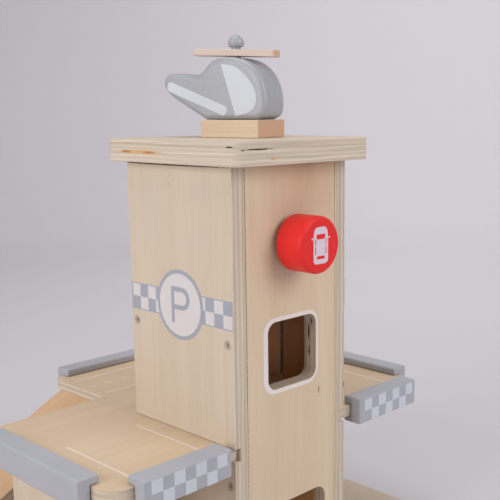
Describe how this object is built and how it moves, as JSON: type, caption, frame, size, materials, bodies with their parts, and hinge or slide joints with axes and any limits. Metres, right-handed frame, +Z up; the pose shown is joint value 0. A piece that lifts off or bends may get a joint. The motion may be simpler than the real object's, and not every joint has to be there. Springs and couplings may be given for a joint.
{
  "type": "toy parking garage with lift",
  "caption": "Wooden toy parking garage: base board, upper deck with kerbs and ramp, lift tower wound by a round knob, and a helicopter on the roof.",
  "frame": {"origin": "middle of the base board's underside", "axes": "+X to the right along the tower's front, +Y away from it, +Z up"},
  "size_m": [0.49, 0.3, 0.4312],
  "materials": {
    "birch_plywood": "clear matt lacquer over sanded birch plywood",
    "grey_paint": "satin water-based paint on solid wood",
    "red_paint": "satin water-based paint on turned wood",
    "beech": "clear matt lacquer over sanded beech",
    "zinc_steel": "zinc plate on steel screws, dulled",
    "cotton_cord": "twisted cotton",
    "white_print": "screen-printed ink, satin",
    "grey_print": "screen-printed ink, satin"
  },
  "bodies": {
    "garage": {"base_board": "birch_plywood", "right_wall": "birch_plywood", "left_wall": "birch_plywood", "ramp_wall": "birch_plywood", "ramp_board": "birch_plywood", "deck_plate": "birch_plywood", "front_left_kerb": "grey_paint", "front_right_kerb": "grey_paint", "right_kerb": "grey_paint", "rear_kerb": "grey_paint", "left_kerb": "grey_paint", "tower_left_panel": "birch_plywood", "tower_right_panel": "birch_plywood", "tower_front_panel": "birch_plywood", "tower_rear_panel": "birch_plywood", "roof_board": "birch_plywood", "roof_dowel_left_front": "beech", "roof_dowel_left_rear": "beech", "roof_dowel_right_front": "beech", "roof_dowel_right_rear": "beech", "board_screw_left_panel_front": "zinc_steel", "board_screw_left_panel_rear": "zinc_steel", "board_screw_right_panel_front": "zinc_steel", "board_screw_right_panel_rear": "zinc_steel", "board_screw_right_wall_front": "zinc_steel", "board_screw_right_wall_rear": "zinc_steel", "board_screw_left_wall_front": "zinc_steel", "board_screw_left_wall_rear": "zinc_steel", "board_screw_ramp_wall_front": "zinc_steel", "board_screw_ramp_wall_rear": "zinc_steel", "ramp_toe_screw_front": "zinc_steel", "ramp_toe_screw_rear": "zinc_steel", "ramp_head_screw": "zinc_steel", "tower_screw_left_front_upper": "zinc_steel", "tower_screw_left_front_lower": "zinc_steel", "tower_screw_left_rear_upper": "zinc_steel", "tower_screw_left_rear_lower": "zinc_steel", "tower_screw_right_front_upper": "zinc_steel", "tower_screw_right_front_lower": "zinc_steel", "tower_screw_right_rear_upper": "zinc_steel", "tower_screw_right_rear_lower": "zinc_steel", "front_bush": "beech", "rear_bush": "beech"},
    "lift_car": {"lift_floor": "birch_plywood", "lift_left_cheek": "birch_plywood", "lift_right_cheek": "birch_plywood", "lift_bridge": "birch_plywood", "cord_bead": "beech", "lift_cord": "cotton_cord"},
    "winder": {"winding_shaft": "beech", "lift_knob": "red_paint", "shaft_collar": "beech", "cord_spool": "beech"},
    "helicopter": {"helicopter_stand": "beech", "helicopter_body": "grey_paint", "rotor_peg": "grey_paint"},
    "rotor": {"rotor_bar": "beech"}
  },
  "joints": [
    {"name": "lift_slide", "type": "slide", "parent": "garage", "child": "lift_car", "axis": [0, 0, 1], "range_m": [-0.14, 0.02]},
    {"name": "knob_turn", "type": "hinge", "parent": "garage", "child": "winder", "pos_m": [0.06, -0.108, 0.283], "axis": [0, 1, 0], "range_deg": [-128.3, 892.3]},
    {"name": "helicopter_lift_off", "type": "slide", "parent": "garage", "child": "helicopter", "axis": [0, 0, 1], "range_m": [0, 0.12]},
    {"name": "rotor_spin", "type": "hinge", "parent": "helicopter", "child": "rotor", "pos_m": [0.06259, -0.04935, 0.4162], "axis": [0, 0, 1], "continuous": true}
  ],
  "couplings": [
    {"joint": "knob_turn", "follows": "lift_slide", "rad_per_m": -111.11}
  ]
}
